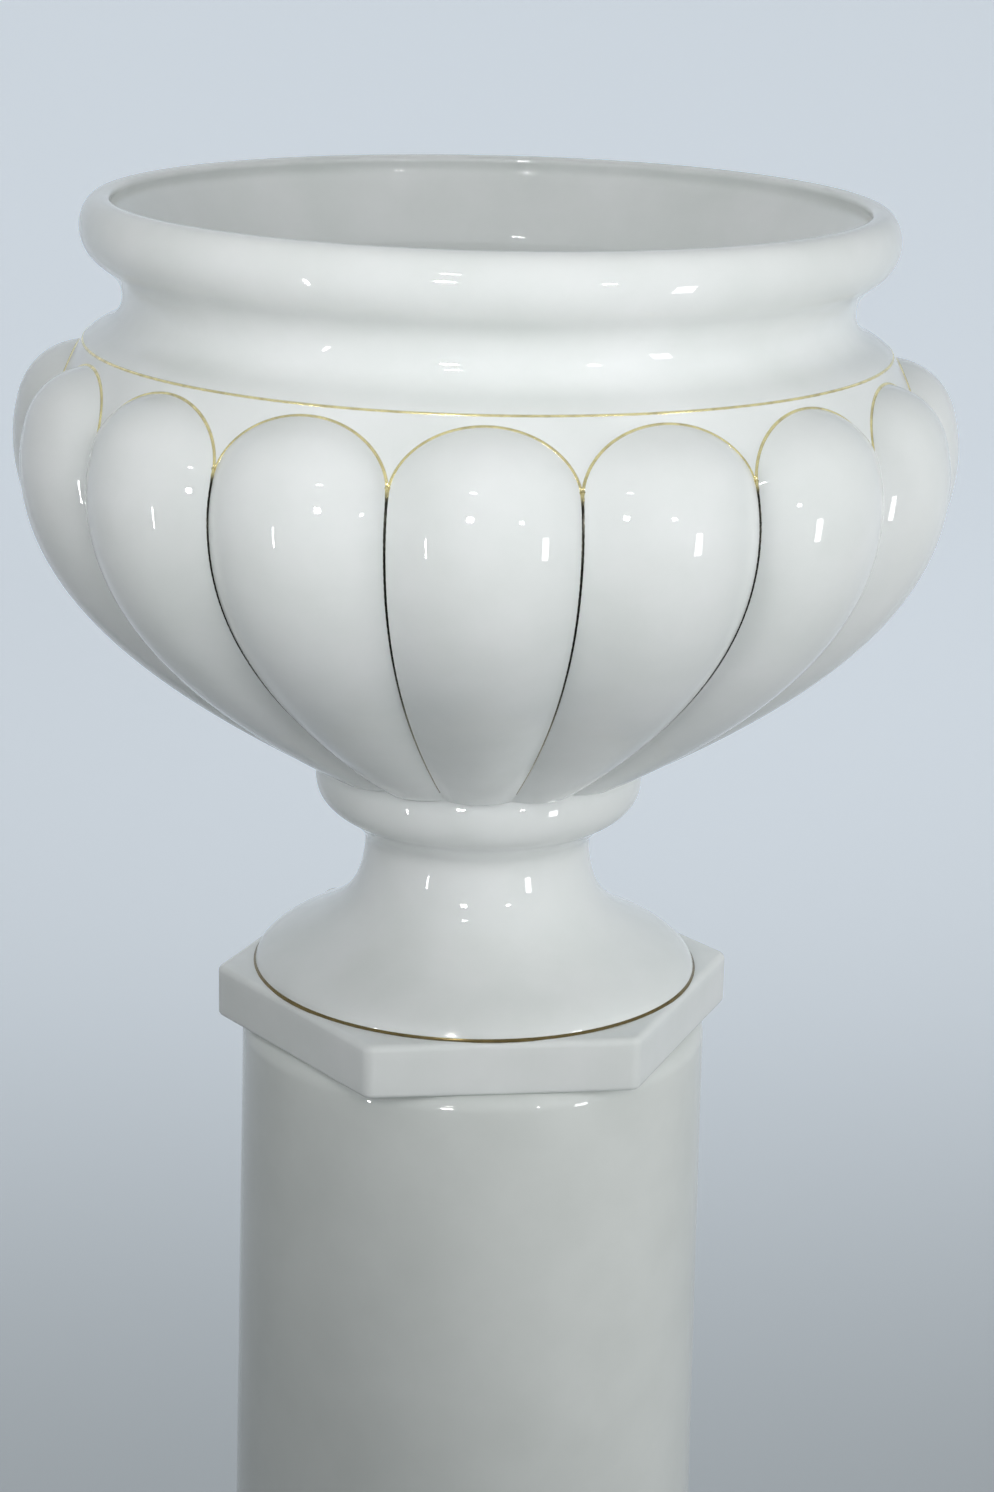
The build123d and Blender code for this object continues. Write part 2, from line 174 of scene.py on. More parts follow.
def spline(points, count):
    """Smooth curve through points of (radius, level), at count + 1 even places along it."""
    p = np.array(points, dtype=float)
    t = np.concatenate([[0.0], np.cumsum(np.hypot(*np.diff(p, axis=0).T))])
    h = np.diff(t)
    size = len(t)
    system = np.eye(size)
    bend = np.zeros((size, 2))
    for i in range(1, size - 1):
        system[i, i - 1:i + 2] = h[i - 1], 2 * (h[i - 1] + h[i]), h[i]
        bend[i] = 6 * ((p[i + 1] - p[i]) / h[i] - (p[i] - p[i - 1]) / h[i - 1])
    m = np.linalg.solve(system, bend)
    curve = []
    for u in np.linspace(0, t[-1], count + 1):
        k = int(np.clip(np.searchsorted(t, u) - 1, 0, size - 2))
        a = t[k + 1] - u
        b = u - t[k]
        point = (m[k] * a ** 3 + m[k + 1] * b ** 3) / (6 * h[k])
        point += (p[k] / h[k] - m[k] * h[k] / 6) * a + (p[k + 1] / h[k] - m[k + 1] * h[k] / 6) * b
        curve.append((float(point[0]), float(point[1])))
    return curve


def inset(points, wall):
    """The same curve moved by a wall's thickness towards its right-hand side."""
    moved = []
    for i, (r, z) in enumerate(points):
        before = points[max(i - 1, 0)]
        after = points[min(i + 1, len(points) - 1)]
        dr = after[0] - before[0]
        dz = after[1] - before[1]
        size = hypot(dr, dz)
        moved.append((r + wall * dz / size, z - wall * dr / size))
    return moved


def ended_at(points, level):
    """A falling curve, ended at a level."""
    kept = [points[0]]
    for r, z in points[1:]:
        last_r, last_z = kept[-1]
        if z <= level:
            kept.append((mix(last_r, r, (last_z - level) / (last_z - z)), level))
            break
        kept.append((r, z))
    return kept


def straight(start, end, count):
    """Points between two places, without the first one."""
    return [(mix(start[0], end[0], i / count), mix(start[1], end[1], i / count))
            for i in range(1, count + 1)]


def quarter(centre, reach, rise, steps=4):
    """Points of a quarter ellipse from its side to its top, without the first one."""
    angles = [pi / 2 * i / steps for i in range(1, steps + 1)]
    return [(centre[0] + reach * cos(a), centre[1] + rise * sin(a)) for a in angles]


def around(r, z, angle):
    """A point at an angle from the front."""
    return Vector((r * sin(angle), -r * cos(angle), z))


def uneven(point, seed):
    """The point, drawn in a little towards the axis as an uneven cast surface is."""
    place = point / WOBBLE_SIZE + Vector((seed, 0, 0))
    depth = WOBBLE * (0.5 + 0.5 * noise.noise(place))
    radius = hypot(point.x, point.y)
    if radius < 2 * depth:
        return point
    share = 1 - depth / radius
    return Vector((point.x * share, point.y * share, point.z))


def make_object(name, vertices, faces, material, sharp=()):
    """A smooth object with its normals outward, and some edges kept sharp."""
    mesh = bpy.data.meshes.new(name)
    mesh.from_pydata([tuple(v) for v in vertices], [], faces)
    mesh.validate()
    work = bmesh.new()
    work.from_mesh(mesh)
    bmesh.ops.recalc_face_normals(work, faces=work.faces)
    work.to_mesh(mesh)
    work.free()
    mesh.shade_smooth()
    if sharp:
        creases = {tuple(sorted(pair)) for pair in sharp}
        for edge in mesh.edges:
            if tuple(sorted(edge.vertices)) in creases:
                edge.use_edge_sharp = True
    mesh.materials.append(material)
    made = bpy.data.objects.new(name, mesh)
    bpy.context.scene.collection.objects.link(made)
    return made


def rings_object(name, rings, material, closed=True, sharp_rings=()):
    """A surface over rings of points. The last ring joins the first, or both ends are capped."""
    count = len(rings[0])
    vertices = [v for ring in rings for v in ring]
    faces = []
    pairs = list(zip(range(len(rings) - 1), range(1, len(rings))))
    if closed:
        pairs.append((len(rings) - 1, 0))
    for a, b in pairs:
        for j in range(count):
            k = (j + 1) % count
            faces.append((a * count + j, a * count + k, b * count + k, b * count + j))
    if not closed:
        for ring in (0, len(rings) - 1):
            middle = sum(rings[ring], Vector()) / count
            vertices.append(middle)
            for j in range(count):
                k = (j + 1) % count
                faces.append((ring * count + j, ring * count + k, len(vertices) - 1))
    sharp = []
    for ring in sharp_rings:
        for j in range(count):
            sharp.append((ring * count + j, ring * count + (j + 1) % count))
    return make_object(name, vertices, faces, material, sharp)


def turned_object(name, profile, material, seed, sharp_rings=()):
    """A closed profile of (radius, level) turned about the axis."""
    rings = []
    for r, z in profile:
        ring = [around(r, z, 2 * pi * j / ROUND_COLUMNS) for j in range(ROUND_COLUMNS)]
        rings.append([uneven(v, seed) for v in ring])
    return rings_object(name, rings, material, True, sharp_rings)


# ---- The valley line and the lobes over it -------------------------------------------------------
def upper_valley(steps):
    """From the shoulder down to just above the belly."""
    points = []
    for i in range(steps):
        swell = sin(pi / 2 * i / steps)
        level = SHOULDER_LEVEL - BELLY_DROP * i / steps
        points.append((mix(SHOULDER_RADIUS, BELLY_RADIUS, swell), level))
    return points


def lower_valley(steps):
    """From the belly down to the seat."""
    points = []
    for i in range(steps + 1):
        share = 1 - i / steps
        swell = sin(pi / 2 * share ** BELLY_POWER)
        level = mix(SEAT_LEVEL, BELLY_LEVEL, share)
        points.append((mix(SEAT_RADIUS, BELLY_RADIUS, swell), level))
    return points


VALLEY = upper_valley(UPPER_VALLEY_STEPS) + lower_valley(LOWER_VALLEY_STEPS)
LENGTHS = [0.0]
for first, second in zip(VALLEY, VALLEY[1:]):
    LENGTHS.append(LENGTHS[-1] + hypot(second[0] - first[0], second[1] - first[1]))
VALLEY_LENGTH = LENGTHS[-1]
CUSP = ARCH_GAP + ARCH_HEIGHT


def valley_at(s):
    """Point and outward normal of the valley line, s along it from the shoulder."""
    i = int(np.clip(np.searchsorted(LENGTHS, s) - 1, 0, len(LENGTHS) - 2))
    r0, z0 = VALLEY[i]
    r1, z1 = VALLEY[i + 1]
    run = LENGTHS[i + 1] - LENGTHS[i]
    share = (s - LENGTHS[i]) / run
    return mix(r0, r1, share), mix(z0, z1, share), (z0 - z1) / run, (r1 - r0) / run


def arch_start(w):
    """Where a lobe begins along the valley line, w from 0 at its middle to 1 at its edge."""
    return CUSP - ARCH_HEIGHT * sqrt(max(0.0, 1 - w * w))


def lobe_height(s, w):
    """How far a lobe stands out from the valley line: a round back that fades towards the seat."""
    arch = max(0.0, CUSP - s) / ARCH_HEIGHT
    q = min(1.0, w * w + arch * arch)
    fullness = (sqrt(ARC_RADIUS ** 2 - q) - ARC_CENTRE) / (ARC_RADIUS - ARC_CENTRE)
    fade = LOBE_FADE * (min(s, VALLEY_LENGTH) / VALLEY_LENGTH) ** LOBE_FADE_POWER
    height = LOBE_RISE * (1 - fade) * fullness
    return hypot(height, CREASE_FILL) - CREASE_FILL


def bowl_point(s, lobe, w, lift=0.0):
    """A point of the bowl's outside below the shoulder, lifted off it by a little."""
    r, z, nr, nz = valley_at(s)
    height = lobe_height(s, w) + lift
    point = around(r + nr * height, z + nz * height, (2 * lobe + w) * HALF_LOBE)
    return uneven(point, BOWL_SEED)


def seat_reach(w):
    """How far along the valley line the lobe's surface comes down to the seat."""
    low = 0.7 * VALLEY_LENGTH
    high = VALLEY_LENGTH
    for _ in range(HALVINGS):
        s = (low + high) / 2
        r, z, nr, nz = valley_at(s)
        if z + nz * lobe_height(s, w) > SEAT_LEVEL:
            low = s
        else:
            high = s
    return low


# ---- Bowl ----------------------------------------------------------------------------------------
def neck_outline():
    """Outside of the neck and rim, from the shoulder up, and down into the mouth."""
    neck = [(0.89, 0.09), (0.62, 0.25), (0.27, 0.45), (0.065, 0.70), (0.0, 1.0)]
    bead = [(0.09, 0.23), (0.37, 0.425), (0.73, 0.60), (0.94, 0.80), (1.0, 1.0)]
    points = [(SHOULDER_RADIUS, SHOULDER_LEVEL)]
    points += [(mix(NECK_RADIUS, SHOULDER_RADIUS, a), mix(SHOULDER_LEVEL, NECK_LEVEL, b))
               for a, b in neck]
    points += [(mix(NECK_RADIUS, RIM_RADIUS, a), mix(NECK_LEVEL, RIM_LEVEL, b))
               for a, b in bead]
    outer = quarter((RIM_CROWN_RADIUS, RIM_LEVEL), RIM_RADIUS - RIM_CROWN_RADIUS, RIM_CROWN)
    hub = (RIM_CROWN_RADIUS, RIM_LEVEL + RIM_CROWN - MOUTH_DROP)
    inner = quarter(hub, MOUTH_RADIUS - RIM_CROWN_RADIUS, MOUTH_DROP)
    return points + outer + inner[-2::-1] + [(MOUTH_RADIUS, hub[1])]


def throat_outline():
    """Under the rim's inner edge, out into the hollow below it and down to the narrowest ring."""
    hollow = [(1.0, 1.0), (1.04, 0.978), (1.11, 0.937), (1.165, 0.894), (1.17, 0.855)]
    slope = [(1.12, 0.816), (0.96, 0.734), (0.67, 0.568), (0.368, 0.374), (0.145, 0.193),
             (0.04, 0.085), (0.0, 0.0)]
    edge = RIM_LEVEL + RIM_CROWN - MOUTH_DROP
    return [(mix(NECK_RADIUS - BOWL_WALL, MOUTH_RADIUS, a),
             mix(NECK_LEVEL + THROAT_RISE, edge, b)) for a, b in hollow + slope]


def inside_outline():
    """From the narrowest ring down to the floor."""
    flare = [(0.0, 0.0), (0.05, 0.08), (0.17, 0.20), (0.375, 0.34), (0.64, 0.53), (0.87, 0.74)]
    points = [(mix(NECK_RADIUS - BOWL_WALL, BELLY_RADIUS - BOWL_WALL, a),
               mix(NECK_LEVEL + THROAT_RISE, BELLY_LEVEL, b)) for a, b in flare]
    return ended_at(points + inset(lower_valley(12), BOWL_WALL), FLOOR_LEVEL)


def make_bowl(material):
    """One casting: floor, inside, rim and neck as rings, then the lobes down to the seat."""
    columns = []
    for lobe in range(LOBES):
        for j in range(LOBE_COLUMNS):
            columns.append((lobe, sin(pi / 2 * (2 * j / LOBE_COLUMNS - 1))))
    profile = spline(neck_outline(), NECK_ROWS)
    profile += spline(throat_outline(), THROAT_ROWS)[1:]
    profile += spline(inside_outline(), INSIDE_ROWS)[1:]
    profile += straight(profile[-1], (FLOOR_MIDDLE, FLOOR_LEVEL), FLOOR_ROWS)
    rings = []
    for r, z in reversed(profile):
        rings.append([uneven(around(r, z, (2 * lobe + w) * HALF_LOBE), BOWL_SEED)
                      for lobe, w in columns])
    shoulder = len(rings) - 1
    for i in range(1, STRIP_ROWS + 1):
        rings.append([bowl_point(arch_start(w) * i / STRIP_ROWS, lobe, w)
                      for lobe, w in columns])
    reaches = [seat_reach(w) for lobe, w in columns]
    for i in range(1, LOBE_ROWS + 1):
        share = (i / LOBE_ROWS) ** LOBE_ROW_SPREAD
        rings.append([bowl_point(mix(arch_start(w), reach, share), lobe, w)
                      for (lobe, w), reach in zip(columns, reaches)])
    seat = len(rings) - 1
    for radius in SEAT_RINGS:
        rings.append([around(radius, SEAT_LEVEL, (2 * lobe + w) * HALF_LOBE)
                      for lobe, w in columns])
    return rings_object("bowl_glazed", rings, material, False, (shoulder, seat))


# ---- Foot ----------------------------------------------------------------------------------------
def foot_outside():
    """Outside of the collar, and of the stem and dome below the soft crease under it."""
    collar = [(0.90, 1.0), (0.98, 0.84), (1.0, 0.67), (0.93, 0.47), (0.64, 0.25), (0.24, 0.09)]
    stem = [(0.075, 0.975), (0.025, 0.93), (0.0, 0.86), (0.005, 0.78), (0.03, 0.68), (0.10, 0.54),
            (0.225, 0.42), (0.42, 0.31), (0.66, 0.21), (0.87, 0.125), (0.965, 0.065),
            (0.994, 0.03), (1.0, 0.0)]
    crease = SEAT_LEVEL - COLLAR_HEIGHT
    upper = [(mix(COLLAR_NECK_RADIUS, COLLAR_RADIUS, a), mix(crease, SEAT_LEVEL, b))
             for a, b in collar]
    lower = [(mix(WAIST_RADIUS, FOOT_RADIUS, a), mix(PLINTH_TOP, crease, b)) for a, b in stem]
    return upper + lower


def make_foot(material):
    """Collar, stem and dome, hollow and open at both ends."""
    outside = foot_outside()
    inside = inset(outside[1:], FOOT_WALL)
    inside = ended_at([(inside[0][0], SEAT_LEVEL)] + inside, PLINTH_TOP)
    outer = spline(outside, FOOT_ROWS)
    profile = outer + spline(inside, FOOT_INSIDE_ROWS)[::-1]
    base = len(outer) - 1
    return turned_object("urn_foot_glazed", profile, material, FOOT_SEED,
                         (0, base, base + 1, len(profile) - 1))


# ---- Six-sided slabs -----------------------------------------------------------------------------
def slab_ring(flats, shrink, level):
    """One ring of points round a six-sided outline with rounded corners."""
    apothem = flats / 2 - shrink
    radius = SLAB_CORNER - shrink
    centre = (apothem - radius) / cos(pi / 6)
    ring = []
    for side in range(6):
        middle = pi / 3 * side + PLINTH_TURN
        hub = Vector((centre * cos(middle), centre * sin(middle), level))
        for i in range(CORNER_STEPS + 1):
            angle = middle + pi / 3 * (i / CORNER_STEPS - 0.5)
            ring.append(hub + radius * Vector((cos(angle), sin(angle), 0)))
        start = ring[-1]
        after = pi / 3 * (side + 1) + PLINTH_TURN
        next_hub = Vector((centre * cos(after), centre * sin(after), level))
        edge = after - pi / 6
        end = next_hub + radius * Vector((cos(edge), sin(edge), 0))
        for i in range(1, SIDE_STEPS):
            ring.append(start.lerp(end, i / SIDE_STEPS))
    return ring


def make_slab(name, flats, bottom, top, opening, material, seed):
    """A six-sided slab with rounded edges and a round opening through its middle."""
    rows = []
    for i in range(EDGE_STEPS + 1):
        angle = pi / 2 * i / EDGE_STEPS
        rows.append((SLAB_BOTTOM_EDGE * (1 - sin(angle)),
                     bottom + SLAB_BOTTOM_EDGE * (1 - cos(angle))))
    for i in range(1, EDGE_STEPS + 1):
        share = i / (EDGE_STEPS + 1)
        rows.append((0.0, mix(bottom + SLAB_BOTTOM_EDGE, top - SLAB_TOP_EDGE, share)))
    for i in range(EDGE_STEPS + 1):
        angle = pi / 2 * i / EDGE_STEPS
        rows.append((SLAB_TOP_EDGE * (1 - cos(angle)), top - SLAB_TOP_EDGE * (1 - sin(angle))))
    rings = [[uneven(v, seed) for v in slab_ring(flats, shrink, level)]
             for shrink, level in rows]

    def ring_inside(radius, level):
        """A round ring whose points lie at the same angles as the outline's."""
        return [Vector((radius * v.x / hypot(v.x, v.y), radius * v.y / hypot(v.x, v.y), level))
                for v in rings[0]]

    rings.append([v.lerp(w, 0.5) for v, w in zip(rings[-1], ring_inside(opening, top))])
    rings.append(ring_inside(opening, top))
    rings.append(ring_inside(opening, bottom))
    rings.append([v.lerp(w, 0.5) for v, w in zip(rings[0], rings[-1])])
    edge = len(rings) - 3
    return rings_object(name, rings, material, True, (edge, edge + 1))


# ---- Column --------------------------------------------------------------------------------------
def side_radius(level):
    """The tapered column's radius at a level."""
    share = (level - BASE_TOP) / (STAND_TOP - BASE_TOP)
    return mix(COLUMN_FOOT_RADIUS, COLUMN_TOP_RADIUS, share)


def make_column(material):
    """Bead, tapered side, rounded shoulder and centring ring, hollow below its top."""
    bead_top = BASE_TOP + BEAD_HEIGHT
    profile = []
    for i in range(BEAD_STEPS + 1):
        angle = pi * i / BEAD_STEPS
        level = BASE_TOP + BEAD_HEIGHT / 2 * (1 - cos(angle))
        profile.append((side_radius(level) + BEAD_REACH * sin(angle), level))
    shoulder = STAND_TOP - COLUMN_SHOULDER_RADIUS
    profile += straight((side_radius(bead_top), bead_top), (side_radius(shoulder), shoulder),
                        COLUMN_ROWS)
    hub = (side_radius(shoulder) - COLUMN_SHOULDER_RADIUS, shoulder)
    profile += quarter(hub, COLUMN_SHOULDER_RADIUS, COLUMN_SHOULDER_RADIUS, steps=8)
    spigot = PLINTH_OPENING_RADIUS - SPIGOT_CLEARANCE
    ceiling = STAND_TOP - COLUMN_TOP_THICKNESS
    corners = [(spigot, STAND_TOP), (spigot, STAND_TOP + SPIGOT_HEIGHT),
               (spigot - SPIGOT_WALL, STAND_TOP + SPIGOT_HEIGHT),
               (spigot - SPIGOT_WALL, STAND_TOP), (AXIS_GAP, STAND_TOP), (AXIS_GAP, ceiling),
               (side_radius(ceiling) - COLUMN_WALL, ceiling),
               (COLUMN_FOOT_RADIUS - COLUMN_WALL, BASE_TOP)]
    first = len(profile)
    profile += corners
    sharp = [0, BEAD_STEPS] + list(range(first, len(profile)))
    return turned_object("column_glazed", profile, material, COLUMN_SEED, sharp)


# ---- Gilding -------------------------------------------------------------------------------------
BAND = (-1.0, -0.6, -0.25, 0.0, 0.25, 0.6, 1.0)       # places across a band, in half widths


def gilt_rise(place, count):
    """How far a point of a row stands on the glaze: flat in the middle, level at both edges."""
    edge = abs(2 * place / (count - 1) - 1)
    return GILT_HEIGHT * (1 - edge ** 4)


def band_object(name, strokes, material):
    """Thin painted bands. A stroke is a list of rows of (point, normal) across the band."""
    vertices = []
    faces = []
    for rows in strokes:
        start = len(vertices)
        count = 2 * len(rows[0])
        for row in rows:
            for i, (point, normal) in enumerate(row):
                vertices.append(point + normal * gilt_rise(i, len(row)))
            for point, normal in reversed(row):
                vertices.append(point - normal * GILT_DEPTH)
        for a in range(len(rows) - 1):
            for j in range(count):
                k = (j + 1) % count
                faces.append((start + a * count + j, start + a * count + k,
                              start + (a + 1) * count + k, start + (a + 1) * count + j))
        for a in (0, len(rows) - 1):
            faces.append(tuple(start + a * count + j for j in range(count)))
    return make_object(name, vertices, faces, material)


def surface_row(s, lobe, w, ds, dw, half):
    """Points and normals across a band on the lobed surface, in the direction (ds, dw)."""
    row = []
    for share in BAND:
        place = s + ds * half * share
        across = w + dw * half * share
        number = lobe
        if across > 1:
            across -= 2
            number += 1
        if across < -1:
            across += 2
            number -= 1
        point = bowl_point(place, number, across)
        lifted = bowl_point(place, number, across, lift=1.0 * MM)
        row.append((point, (lifted - point).normalized()))
    return row


def arch_stroke(lobe):
    """The line over the top of a lobe."""
    rows = []
    for i in range(ARCH_STEPS + 1):
        w = sin(asin(GILT_MEETING) * (2 * i / ARCH_STEPS - 1))
        s = arch_start(w)
        r = valley_at(s)[0]
        aside = w / (r * HALF_LOBE)
        above = -sqrt(1 - w * w) / ARCH_HEIGHT
        size = hypot(aside, above)
        rows.append(surface_row(s, lobe, w, above / size, aside / size / (r * HALF_LOBE),
                                GILT_WIDTH / 2))
    return rows


def valley_stroke(lobe):
    """The line down the crease beside a lobe, from its pool under the cusp."""
    rows = []
    start = arch_start(GILT_MEETING)
    end = VALLEY_LENGTH - CREASE_FADE_OUT
    for i in range(CREASE_STEPS + 1):
        share = i / CREASE_STEPS
        s = mix(start, end, share)
        r = valley_at(s)[0]
        pool = max(0.0, 1 - (s - start) / GILT_POOL)
        width = mix(CREASE_START_WIDTH, CREASE_END_WIDTH, share ** CREASE_TAPER)
        half = GILT_WIDTH / 2 * (width + GILT_POOL_SWELL * pool ** 2)
        rows.append(surface_row(s, lobe, 1.0, 0.0, 1 / (r * HALF_LOBE), half))
    return rows


def make_lobe_gilding(material):
    """Every lobe's arch, and the line down every crease."""
    strokes = []
    for lobe in range(LOBES):
        strokes.append(arch_stroke(lobe))
        strokes.append(valley_stroke(lobe))
    return band_object("lobe_gilding", strokes, material)


def ring_band(name, profile, material, seed):
    """A painted band all round, over a short profile of (radius, level, normal)."""
    rises = [gilt_rise(i, len(profile)) for i in range(len(profile))]
    rises += [-GILT_DEPTH] * len(profile)
    rings = []
    for (r, z, nr, nz), rise in zip(profile + profile[::-1], rises):
        ring = [around(r + nr * rise, z + nz * rise, 2 * pi * j / ROUND_COLUMNS)
                for j in range(ROUND_COLUMNS)]
        rings.append([uneven(v, seed) for v in ring])
    return rings_object(name, rings, material)


def make_shoulder_gilding(material):
    """The line in the crease between the neck and the lobes."""
    half = GILT_WIDTH / 2
    start, second = spline(neck_outline(), BAND_START_ROWS)[:2]
    dr = second[0] - start[0]
    dz = second[1] - start[1]
    size = hypot(dr, dz)
    profile = [valley_at(max(share * half, 1e-6)) for share in (1.0, 0.5, 0.0)]
    for share in (0.5, 1.0):
        profile.append((start[0] + dr / size * half * share,
                        start[1] + dz / size * half * share, dz / size, -dr / size))
    return ring_band("shoulder_gilding", profile, material, BOWL_SEED)


def make_foot_gilding(material):
    """The line in the crease between the plinth and the foot."""
    half = GILT_WIDTH / 2 * FOOT_GILT_WIDTH
    corner = 0.2 * MM
    profile = [(FOOT_RADIUS + half, PLINTH_TOP, 0, 1),
               (FOOT_RADIUS + half / 2, PLINTH_TOP, 0, 1),
               (FOOT_RADIUS + corner, PLINTH_TOP + corner, 0.7, 0.7),
               (FOOT_RADIUS - 0.1 * half, PLINTH_TOP + half, 1, 0),
               (FOOT_RADIUS - 0.5 * half, PLINTH_TOP + 2 * half, 1, 0)]
    return ring_band("foot_gilding", profile, material, FOOT_SEED)


# ---- Materials -----------------------------------------------------------------------------------
GLAZE_THIN = (0.80, 0.825, 0.82, 1)
GLAZE_THICK = (0.74, 0.775, 0.76, 1)
# The column and the base slab take a darker copy of the white glaze: painted shade for the dimmer
# light down the stand.
SHADED_COLUMN_GLAZE_THIN = (0.745, 0.778, 0.755, 1)
SHADED_COLUMN_GLAZE_THICK = (0.69, 0.724, 0.70, 1)
GLAZE_CLOUDS = 7.0            # broad clouds in the glaze's colour, to a metre,
GLAZE_BLOTCHES = 26.0         # blotches in them,
GLAZE_SMEARS = 11.0           # duller smears
GLAZE_RIPPLES = 45.0          # and ripples of the surface, all to a metre
GLAZE_DULLEST = 0.05
GLAZE_IOR = 1.52
RIPPLE_STRENGTH = 0.08
RIPPLE_HEIGHT = 0.4 * MM
SPECK_CELLS = 60.0            # cells to a metre, few of which hold a speck
SPECK_RARITY = 0.93
SPECK_SIZE = 0.4 * MM
SPECK_COLOUR = (0.12, 0.10, 0.08, 1)
CUSP_LEVEL = SHOULDER_LEVEL - 34.0 * MM
# Below the cusps the gold's colour is painted reflection and shade, for gilding that mirrors dark
# surroundings: near black down the upper creases, brown towards the seat and at the foot's line.
PAINTED_DARK_GOLD = (0.03, 0.028, 0.02, 1)
GOLD_WITH_PAINTED_REFLECTION_BY_LEVEL = [
    (PLINTH_TOP, (0.22, 0.16, 0.06, 1)),
    (SEAT_LEVEL, (0.42, 0.38, 0.26, 1)),
    (SEAT_LEVEL + 55.0 * MM, (0.22, 0.20, 0.13, 1)),
    (SEAT_LEVEL + 95.0 * MM, PAINTED_DARK_GOLD),
    (CUSP_LEVEL, PAINTED_DARK_GOLD),
    (CUSP_LEVEL + 3.5 * MM, (1.0, 0.86, 0.44, 1)),
    (NECK_LEVEL, (1.0, 0.88, 0.50, 1)),
]
GOLD_WEAR = 160.0             # worn spots to a metre


def new_material(name):
    """A material with its nodes, its links and its shader."""
    material = bpy.data.materials.new(name)
    material.use_nodes = True
    nodes = material.node_tree.nodes
    return material, nodes, material.node_tree.links, nodes["Principled BSDF"]


def math_node(nodes, links, operation, first, second):
    """The result of a sum on an output and on another output or a number."""
    node = nodes.new("ShaderNodeMath")
    node.operation = operation
    links.new(first, node.inputs[0])
    if isinstance(second, float):
        node.inputs[1].default_value = second
    else:
        links.new(second, node.inputs[1])
    return node.outputs["Value"]


def noise_output(nodes, links, place, scale, detail):
    """Noise of a scale, 0 to 1 and mostly about a half."""
    node = nodes.new("ShaderNodeTexNoise")
    node.inputs["Scale"].default_value = scale
    node.inputs["Detail"].default_value = detail
    links.new(place, node.inputs["Vector"])
    return node.outputs["Fac"]


def range_output(nodes, links, value, start, end, low=0.0, high=1.0, kind="LINEAR"):
    """A value from start to end, carried over to the range from low to high."""
    node = nodes.new("ShaderNodeMapRange")
    node.interpolation_type = kind
    node.inputs["From Min"].default_value = start
    node.inputs["From Max"].default_value = end
    node.inputs["To Min"].default_value = low
    node.inputs["To Max"].default_value = high
    links.new(value, node.inputs["Value"])
    return node.outputs["Result"]


def ramp_output(nodes, links, value, stops):
    """Colours by a value, from a list of (value, colour)."""
    node = nodes.new("ShaderNodeValToRGB")
    ramp = node.color_ramp
    ramp.elements[0].position, ramp.elements[0].color = stops[0]
    ramp.elements[1].position, ramp.elements[1].color = stops[-1]
    for position, colour in stops[1:-1]:
        ramp.elements.new(position).color = colour
    links.new(value, node.inputs["Fac"])
    return node.outputs["Color"]


def glaze_material(name, thin, thick):
    """White glaze, deeper in colour where it has run together, with a few fired-in specks."""
    material, nodes, links, shader = new_material(name)
    place = nodes.new("ShaderNodeTexCoord").outputs["Object"]
    clouds = noise_output(nodes, links, place, GLAZE_CLOUDS, 6.0)
    clouds = math_node(nodes, links, "MULTIPLY", clouds, 0.5)
    blotches = noise_output(nodes, links, place, GLAZE_BLOTCHES, 4.0)
    blotches = math_node(nodes, links, "MULTIPLY", blotches, 0.5)
    pooling = math_node(nodes, links, "ADD", clouds, blotches)
    tint = ramp_output(nodes, links, pooling, [(0.38, thick), (0.62, thin)])
    cells = nodes.new("ShaderNodeTexVoronoi")
    cells.inputs["Scale"].default_value = SPECK_CELLS
    links.new(place, cells.inputs["Vector"])
    number = nodes.new("ShaderNodeSeparateColor")
    links.new(cells.outputs["Color"], number.inputs["Color"])
    chosen = math_node(nodes, links, "GREATER_THAN", number.outputs["Red"], SPECK_RARITY)
    size = math_node(nodes, links, "MULTIPLY", number.outputs["Green"], SPECK_SIZE * SPECK_CELLS)
    near = math_node(nodes, links, "LESS_THAN", cells.outputs["Distance"], size)
    speck = nodes.new("ShaderNodeMix")
    speck.data_type = "RGBA"
    links.new(math_node(nodes, links, "MULTIPLY", chosen, near), speck.inputs["Factor"])
    links.new(tint, speck.inputs["A"])
    speck.inputs["B"].default_value = SPECK_COLOUR
    links.new(speck.outputs["Result"], shader.inputs["Base Color"])
    smears = noise_output(nodes, links, place, GLAZE_SMEARS, 3.0)
    dullness = math_node(nodes, links, "MULTIPLY", smears, GLAZE_DULLEST)
    links.new(dullness, shader.inputs["Roughness"])
    shader.inputs["IOR"].default_value = GLAZE_IOR
    bump = nodes.new("ShaderNodeBump")
    bump.inputs["Strength"].default_value = RIPPLE_STRENGTH
    bump.inputs["Distance"].default_value = RIPPLE_HEIGHT
    links.new(noise_output(nodes, links, place, GLAZE_RIPPLES, 2.0), bump.inputs["Height"])
    links.new(bump.outputs["Normal"], shader.inputs["Normal"])
    return material


